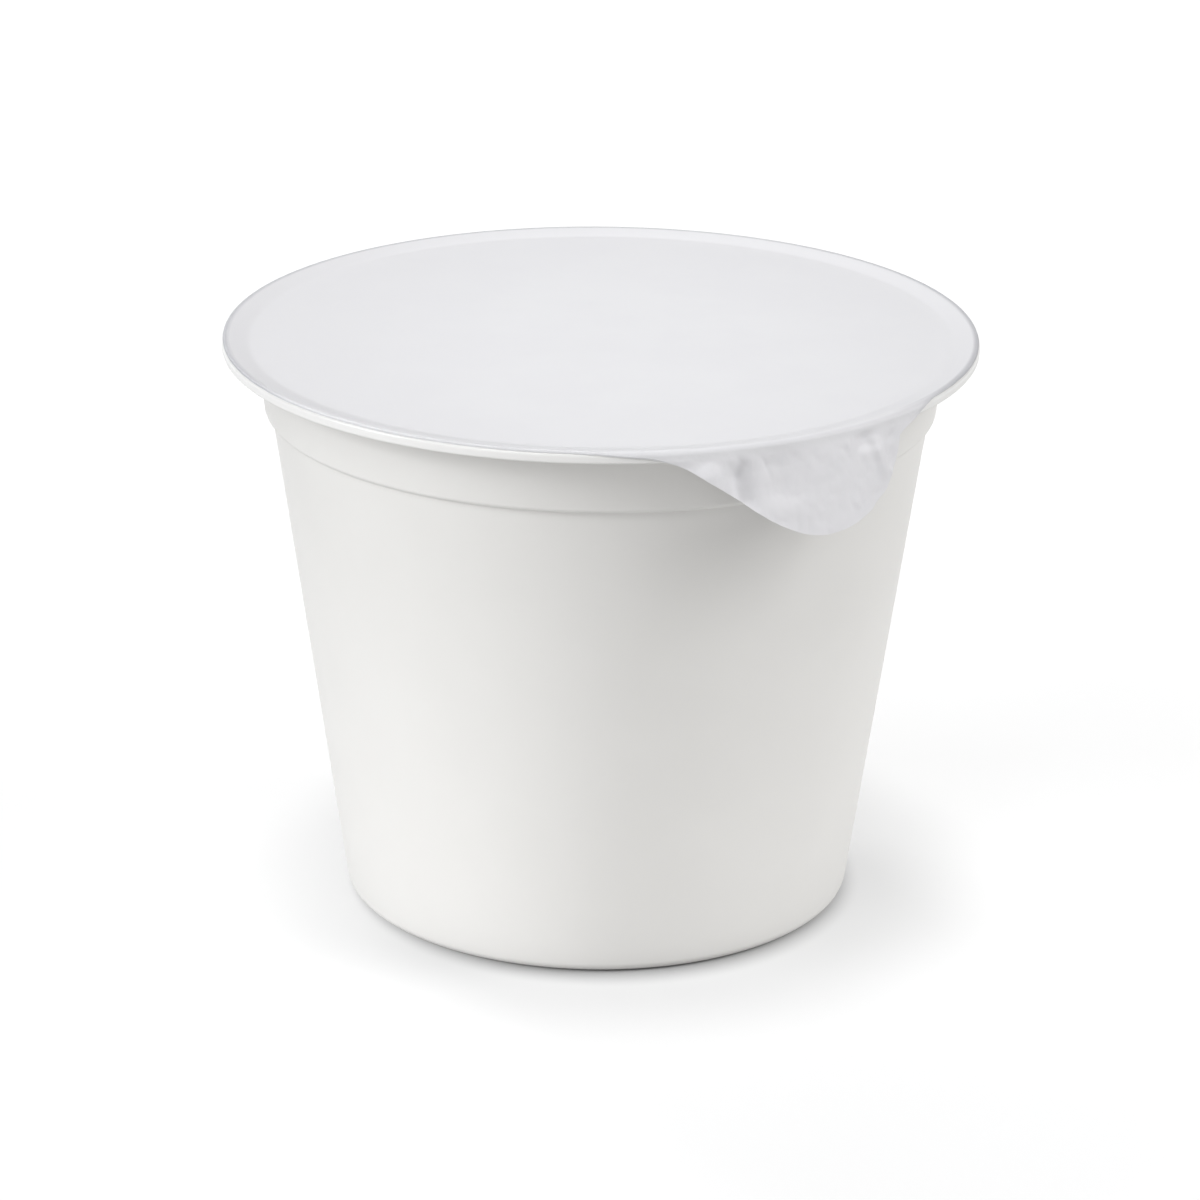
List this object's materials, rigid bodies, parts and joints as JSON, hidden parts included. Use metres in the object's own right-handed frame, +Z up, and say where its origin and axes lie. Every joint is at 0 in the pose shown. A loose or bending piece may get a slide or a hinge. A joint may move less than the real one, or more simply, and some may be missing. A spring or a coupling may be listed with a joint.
{
  "type": "sour cream pot",
  "caption": "Tapered round dairy pot, shut and full, with a stepped collar, flanged rim and a thin peel-off lid whose pull tab is folded down.",
  "frame": {"origin": "on the pot's axis, in the plane of the foot's standing ring", "axes": "+Z up along the pot's axis, out of the lid; the pull tab hangs over the rim between -Y and +X"},
  "size_m": [0.095, 0.0952, 0.0736],
  "materials": {
    "pot_plastic": "satin white moulded plastic",
    "lid_laminate": "white lacquered foil laminate, fine matte grain"
  },
  "bodies": {
    "root": {"pot": "pot_plastic", "lid": "lid_laminate"}
  },
  "joints": []
}
